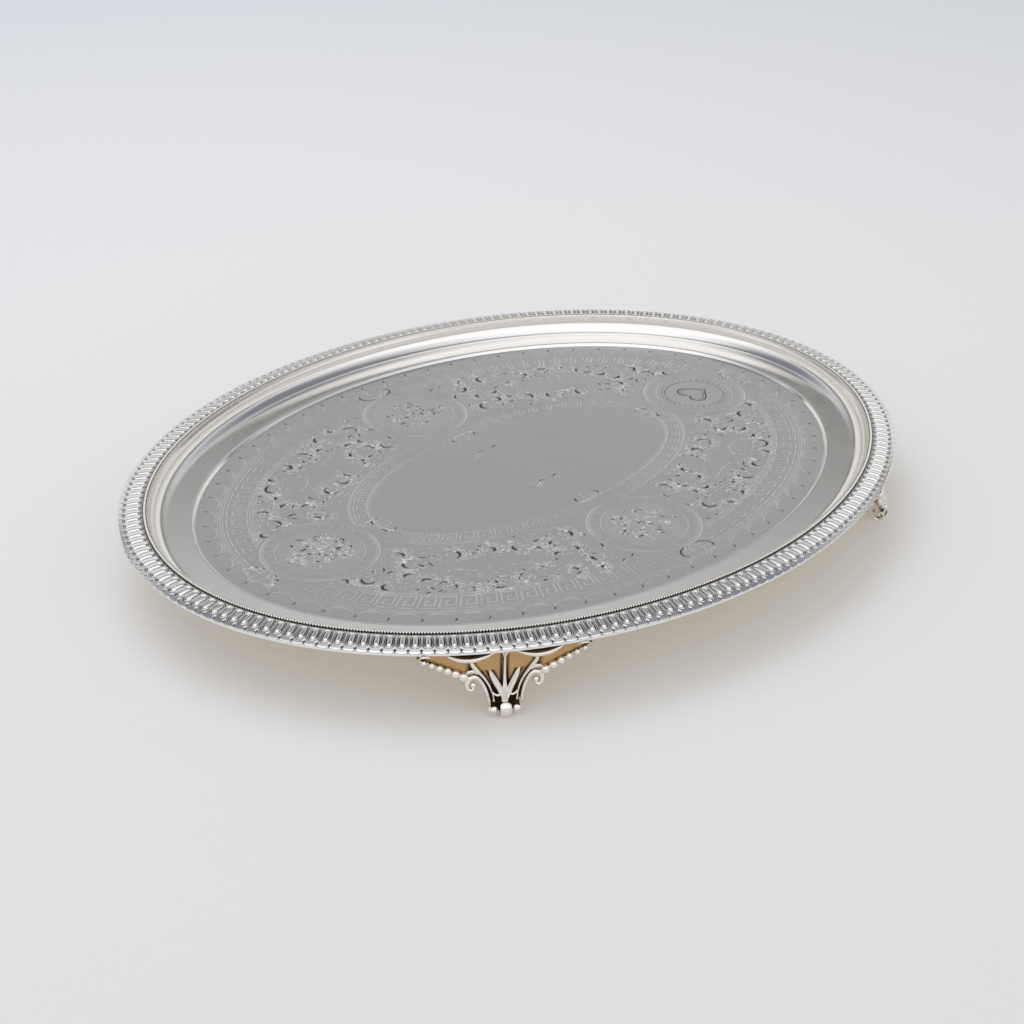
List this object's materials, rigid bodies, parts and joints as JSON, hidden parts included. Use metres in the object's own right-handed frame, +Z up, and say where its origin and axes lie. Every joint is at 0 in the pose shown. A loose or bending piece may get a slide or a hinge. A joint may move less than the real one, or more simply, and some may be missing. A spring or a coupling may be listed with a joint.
{
  "type": "footed salver",
  "caption": "Oval silver salver: shallow engraved tray with a beaded and lobed applied border, standing on cast scroll feet.",
  "frame": {"origin": "on the table, under the middle of the tray", "axes": "+X along the oval's long axis, +Y across it, +Z up"},
  "size_m": [0.3556, 0.2794, 0.0316],
  "materials": {
    "tray_silver": "polished and engraved",
    "border_silver": "polished high points, darkened recesses",
    "bead_silver": "polished, darkened between beads",
    "foot_silver": "cast, polished ridges, golden brown recesses"
  },
  "bodies": {
    "root": {"back_left_border_length": "border_silver", "back_left_foot_bracket": "foot_silver", "back_left_foot_left_strap": "foot_silver", "back_left_foot_left_wing": "foot_silver", "back_left_foot_right_strap": "foot_silver", "back_left_foot_right_wing": "foot_silver", "back_left_foot_toe": "foot_silver", "back_right_border_length": "border_silver", "back_right_foot_bracket": "foot_silver", "back_right_foot_left_strap": "foot_silver", "back_right_foot_left_wing": "foot_silver", "back_right_foot_right_strap": "foot_silver", "back_right_foot_right_wing": "foot_silver", "back_right_foot_toe": "foot_silver", "beaded_wire": "bead_silver", "front_left_border_length": "border_silver", "front_left_foot_bracket": "foot_silver", "front_left_foot_left_strap": "foot_silver", "front_left_foot_left_wing": "foot_silver", "front_left_foot_right_strap": "foot_silver", "front_left_foot_right_wing": "foot_silver", "front_left_foot_toe": "foot_silver", "front_right_border_length": "border_silver", "front_right_foot_bracket": "foot_silver", "front_right_foot_left_strap": "foot_silver", "front_right_foot_left_wing": "foot_silver", "front_right_foot_right_strap": "foot_silver", "front_right_foot_right_wing": "foot_silver", "front_right_foot_toe": "foot_silver", "moulded_lip_strip": "tray_silver", "tray_sheet": "tray_silver"}
  },
  "joints": []
}
